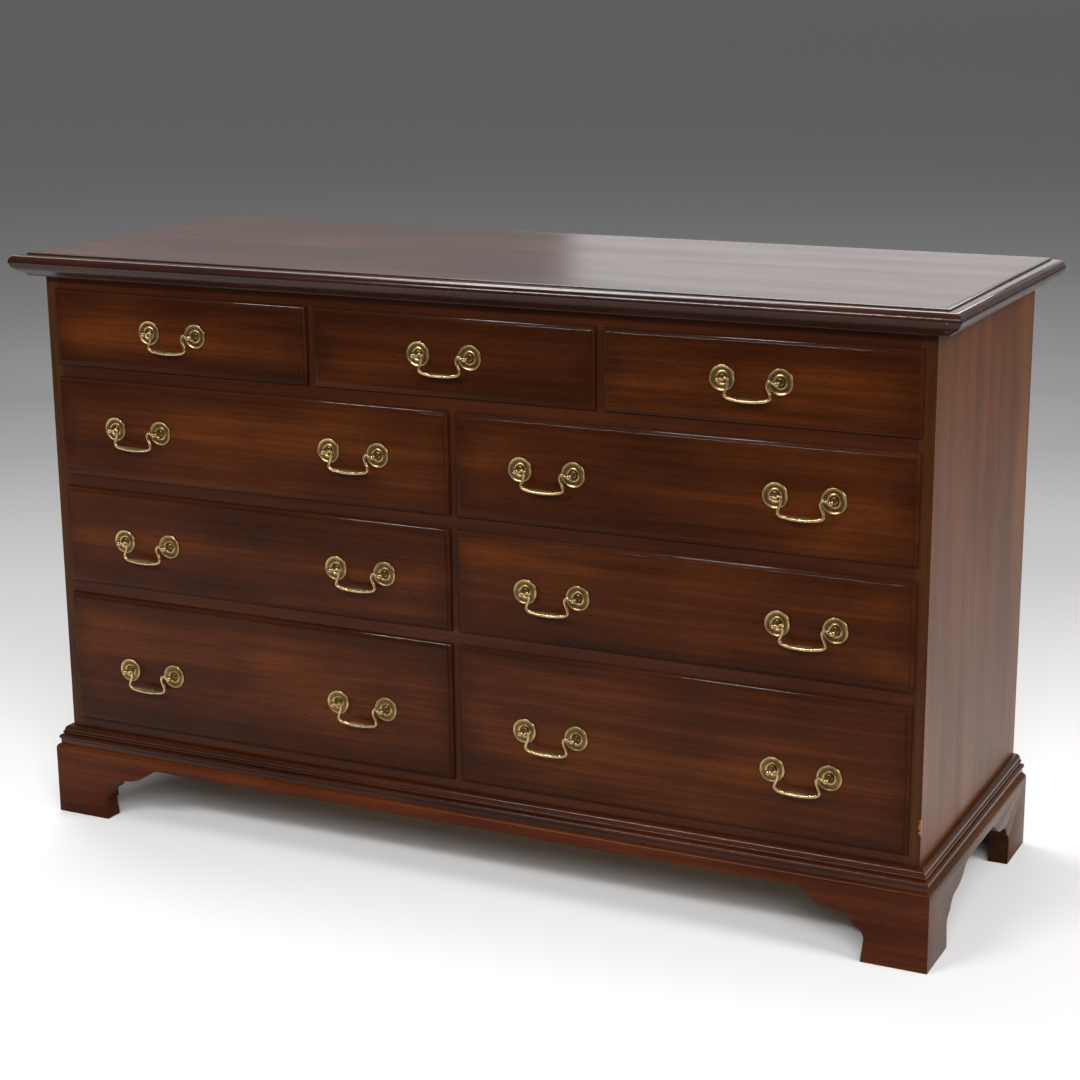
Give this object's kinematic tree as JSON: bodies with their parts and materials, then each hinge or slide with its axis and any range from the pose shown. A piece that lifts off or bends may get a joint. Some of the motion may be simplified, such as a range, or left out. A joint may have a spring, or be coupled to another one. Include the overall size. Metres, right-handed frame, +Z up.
{
  "type": "chest of drawers",
  "caption": "Long low chest of drawers in mahogany: small drawers over wide ones, lipped fronts, brass swan-neck bails, moulded top and scrolled bracket feet.",
  "frame": {"origin": "on the floor, at the middle of the chest's overall width and depth", "axes": "+X to the right of someone who faces the chest, -Y the drawer fronts, +Z up"},
  "size_m": [1.374, 0.508, 0.838],
  "materials": {
    "mahogany_case": "satin lacquer over red-brown stain",
    "mahogany_fronts": "satin lacquer over dark red-brown stain",
    "mahogany_top": "satin lacquer over red-brown stain",
    "mahogany_base": "satin lacquer over red-brown stain",
    "secondary_wood": "bare planed wood",
    "antique_brass": "antique brass, aged in the hollows",
    "screw_steel": "plain zinc"
  },
  "bodies": {
    "case": {"back_panel": "secondary_wood", "back_rails": "secondary_wood", "back_screws": "screw_steel", "base_moulding": "mahogany_base", "bottom_rail": "mahogany_case", "drawer_dividers": "mahogany_case", "drawer_runners": "secondary_wood", "dust_panels": "secondary_wood", "foot_supports": "secondary_wood", "middle_rails": "mahogany_case", "partitions": "secondary_wood", "plinth_front": "mahogany_base", "plinth_sides": "mahogany_base", "side_panel_left": "mahogany_case", "side_panel_right": "mahogany_case", "top_board": "mahogany_top", "top_cove": "mahogany_base", "top_rail": "mahogany_case"},
    "drawer_bottom_left": {"drawer_bottom_left_front": "mahogany_fronts", "drawer_bottom_left_box": "secondary_wood", "drawer_bottom_left_fittings": "antique_brass"},
    "bail_bottom_left_1": {"bail_bottom_left_1": "antique_brass"},
    "bail_bottom_left_2": {"bail_bottom_left_2": "antique_brass"},
    "drawer_bottom_right": {"drawer_bottom_right_front": "mahogany_fronts", "drawer_bottom_right_box": "secondary_wood", "drawer_bottom_right_fittings": "antique_brass"},
    "bail_bottom_right_1": {"bail_bottom_right_1": "antique_brass"},
    "bail_bottom_right_2": {"bail_bottom_right_2": "antique_brass"},
    "drawer_third_left": {"drawer_third_left_front": "mahogany_fronts", "drawer_third_left_box": "secondary_wood", "drawer_third_left_fittings": "antique_brass"},
    "bail_third_left_1": {"bail_third_left_1": "antique_brass"},
    "bail_third_left_2": {"bail_third_left_2": "antique_brass"},
    "drawer_third_right": {"drawer_third_right_front": "mahogany_fronts", "drawer_third_right_box": "secondary_wood", "drawer_third_right_fittings": "antique_brass"},
    "bail_third_right_1": {"bail_third_right_1": "antique_brass"},
    "bail_third_right_2": {"bail_third_right_2": "antique_brass"},
    "drawer_second_left": {"drawer_second_left_front": "mahogany_fronts", "drawer_second_left_box": "secondary_wood", "drawer_second_left_fittings": "antique_brass"},
    "bail_second_left_1": {"bail_second_left_1": "antique_brass"},
    "bail_second_left_2": {"bail_second_left_2": "antique_brass"},
    "drawer_second_right": {"drawer_second_right_front": "mahogany_fronts", "drawer_second_right_box": "secondary_wood", "drawer_second_right_fittings": "antique_brass"},
    "bail_second_right_1": {"bail_second_right_1": "antique_brass"},
    "bail_second_right_2": {"bail_second_right_2": "antique_brass"},
    "drawer_top_left": {"drawer_top_left_front": "mahogany_fronts", "drawer_top_left_box": "secondary_wood", "drawer_top_left_fittings": "antique_brass"},
    "bail_top_left": {"bail_top_left": "antique_brass"},
    "drawer_top_middle": {"drawer_top_middle_front": "mahogany_fronts", "drawer_top_middle_box": "secondary_wood", "drawer_top_middle_fittings": "antique_brass"},
    "bail_top_middle": {"bail_top_middle": "antique_brass"},
    "drawer_top_right": {"drawer_top_right_front": "mahogany_fronts", "drawer_top_right_box": "secondary_wood", "drawer_top_right_fittings": "antique_brass"},
    "bail_top_right": {"bail_top_right": "antique_brass"}
  },
  "joints": [
    {"name": "drawer_bottom_left_slide", "type": "slide", "parent": "case", "child": "drawer_bottom_left", "axis": [0, -1, 0], "range_m": [0, 0.33]},
    {"name": "bail_bottom_left_1_swing", "type": "hinge", "parent": "drawer_bottom_left", "child": "bail_bottom_left_1", "pos_m": [-0.4971, -0.2385, 0.2355], "axis": [-1, 0, 0], "range_deg": [-26, 180]},
    {"name": "bail_bottom_left_2_swing", "type": "hinge", "parent": "drawer_bottom_left", "child": "bail_bottom_left_2", "pos_m": [-0.1461, -0.2385, 0.2355], "axis": [-1, 0, 0], "range_deg": [-26, 180]},
    {"name": "drawer_bottom_right_slide", "type": "slide", "parent": "case", "child": "drawer_bottom_right", "axis": [0, -1, 0], "range_m": [0, 0.33]},
    {"name": "bail_bottom_right_1_swing", "type": "hinge", "parent": "drawer_bottom_right", "child": "bail_bottom_right_1", "pos_m": [0.1429, -0.2385, 0.2355], "axis": [-1, 0, 0], "range_deg": [-26, 180]},
    {"name": "bail_bottom_right_2_swing", "type": "hinge", "parent": "drawer_bottom_right", "child": "bail_bottom_right_2", "pos_m": [0.4939, -0.2385, 0.2355], "axis": [-1, 0, 0], "range_deg": [-26, 180]},
    {"name": "drawer_third_left_slide", "type": "slide", "parent": "case", "child": "drawer_third_left", "axis": [0, -1, 0], "range_m": [0, 0.33]},
    {"name": "bail_third_left_1_swing", "type": "hinge", "parent": "drawer_third_left", "child": "bail_third_left_1", "pos_m": [-0.494, -0.2385, 0.42925], "axis": [-1, 0, 0], "range_deg": [-26, 180]},
    {"name": "bail_third_left_2_swing", "type": "hinge", "parent": "drawer_third_left", "child": "bail_third_left_2", "pos_m": [-0.143, -0.2385, 0.42925], "axis": [-1, 0, 0], "range_deg": [-26, 180]},
    {"name": "drawer_third_right_slide", "type": "slide", "parent": "case", "child": "drawer_third_right", "axis": [0, -1, 0], "range_m": [0, 0.33]},
    {"name": "bail_third_right_1_swing", "type": "hinge", "parent": "drawer_third_right", "child": "bail_third_right_1", "pos_m": [0.146, -0.2385, 0.42925], "axis": [-1, 0, 0], "range_deg": [-26, 180]},
    {"name": "bail_third_right_2_swing", "type": "hinge", "parent": "drawer_third_right", "child": "bail_third_right_2", "pos_m": [0.497, -0.2385, 0.42925], "axis": [-1, 0, 0], "range_deg": [-26, 180]},
    {"name": "drawer_second_left_slide", "type": "slide", "parent": "case", "child": "drawer_second_left", "axis": [0, -1, 0], "range_m": [0, 0.33]},
    {"name": "bail_second_left_1_swing", "type": "hinge", "parent": "drawer_second_left", "child": "bail_second_left_1", "pos_m": [-0.4999, -0.2385, 0.59325], "axis": [-1, 0, 0], "range_deg": [-26, 180]},
    {"name": "bail_second_left_2_swing", "type": "hinge", "parent": "drawer_second_left", "child": "bail_second_left_2", "pos_m": [-0.1489, -0.2385, 0.59325], "axis": [-1, 0, 0], "range_deg": [-26, 180]},
    {"name": "drawer_second_right_slide", "type": "slide", "parent": "case", "child": "drawer_second_right", "axis": [0, -1, 0], "range_m": [0, 0.33]},
    {"name": "bail_second_right_1_swing", "type": "hinge", "parent": "drawer_second_right", "child": "bail_second_right_1", "pos_m": [0.1401, -0.2385, 0.59325], "axis": [-1, 0, 0], "range_deg": [-26, 180]},
    {"name": "bail_second_right_2_swing", "type": "hinge", "parent": "drawer_second_right", "child": "bail_second_right_2", "pos_m": [0.4911, -0.2385, 0.59325], "axis": [-1, 0, 0], "range_deg": [-26, 180]},
    {"name": "drawer_top_left_slide", "type": "slide", "parent": "case", "child": "drawer_top_left", "axis": [0, -1, 0], "range_m": [0, 0.33]},
    {"name": "bail_top_left_swing", "type": "hinge", "parent": "drawer_top_left", "child": "bail_top_left", "pos_m": [-0.43407, -0.2385, 0.735], "axis": [-1, 0, 0], "range_deg": [-26, 180]},
    {"name": "drawer_top_middle_slide", "type": "slide", "parent": "case", "child": "drawer_top_middle", "axis": [0, -1, 0], "range_m": [0, 0.33]},
    {"name": "bail_top_middle_swing", "type": "hinge", "parent": "drawer_top_middle", "child": "bail_top_middle", "pos_m": [-0.0074, -0.2385, 0.735], "axis": [-1, 0, 0], "range_deg": [-26, 180]},
    {"name": "drawer_top_right_slide", "type": "slide", "parent": "case", "child": "drawer_top_right", "axis": [0, -1, 0], "range_m": [0, 0.33]},
    {"name": "bail_top_right_swing", "type": "hinge", "parent": "drawer_top_right", "child": "bail_top_right", "pos_m": [0.41927, -0.2385, 0.735], "axis": [-1, 0, 0], "range_deg": [-26, 180]}
  ]
}
